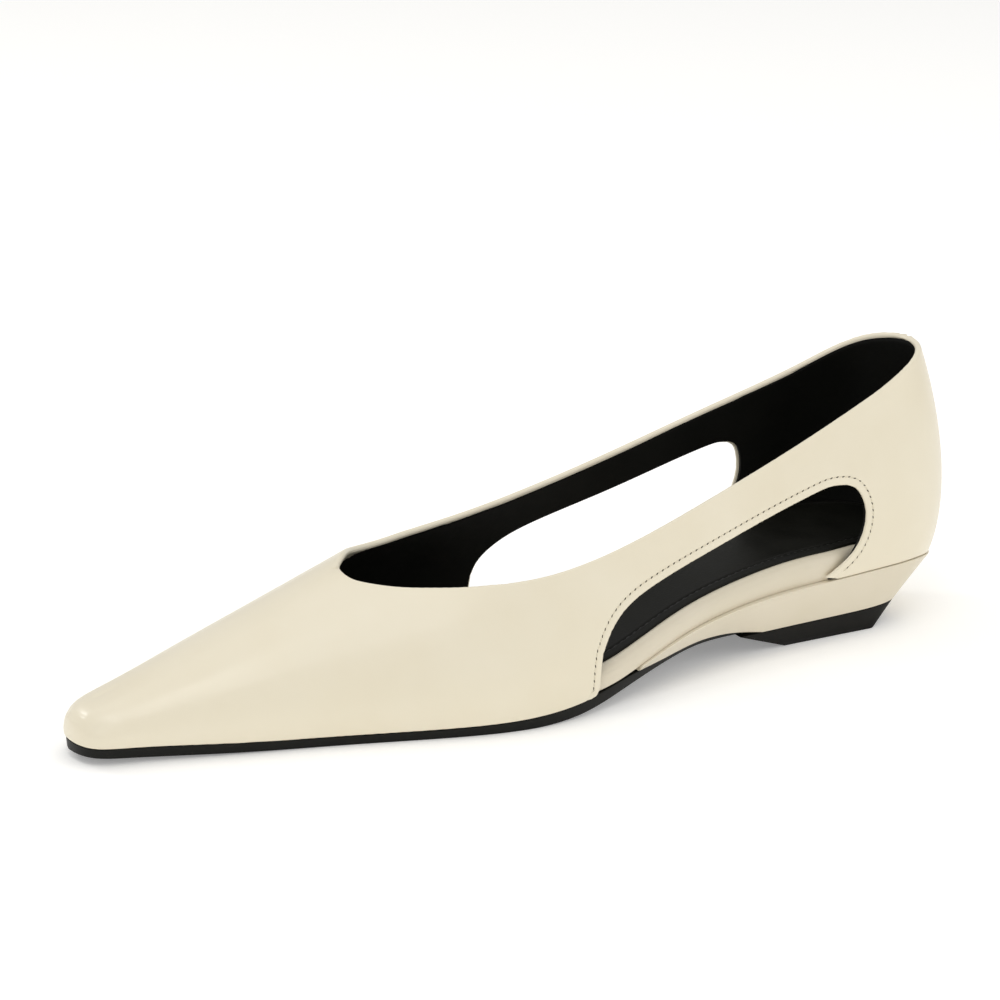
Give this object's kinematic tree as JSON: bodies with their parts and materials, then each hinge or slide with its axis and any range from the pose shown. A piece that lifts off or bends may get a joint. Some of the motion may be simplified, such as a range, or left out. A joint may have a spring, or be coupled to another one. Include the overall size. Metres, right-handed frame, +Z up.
{
  "type": "pointed low wedge pump",
  "caption": "Left women's slip-on pump with a snipped pointed toe, an open cut-out in each side, a padded footbed and a low leather-covered wedge heel on a black top piece.",
  "frame": {"origin": "on the floor under the middle of the shoe's box", "axes": "+X from toe to heel, +Y to the medial side of this left shoe, +Z up"},
  "size_m": [0.2559, 0.0757, 0.0758],
  "materials": {
    "upper_leather": "smooth cream leather, semi-matt, black lining",
    "outsole": "black moulded sole, satin edge",
    "wedge_cover": "cream leather stretched over the wedge",
    "heel_lift": "black rubber, matt",
    "footbed_wrap": "cream leather wrapped round padding",
    "sock_leather": "black smooth leather, stitched edge"
  },
  "bodies": {
    "root": {"upper": "upper_leather", "outsole": "outsole", "heel_wedge": "wedge_cover", "heel_lift": "heel_lift", "footbed": "footbed_wrap", "sock": "sock_leather"}
  },
  "joints": []
}
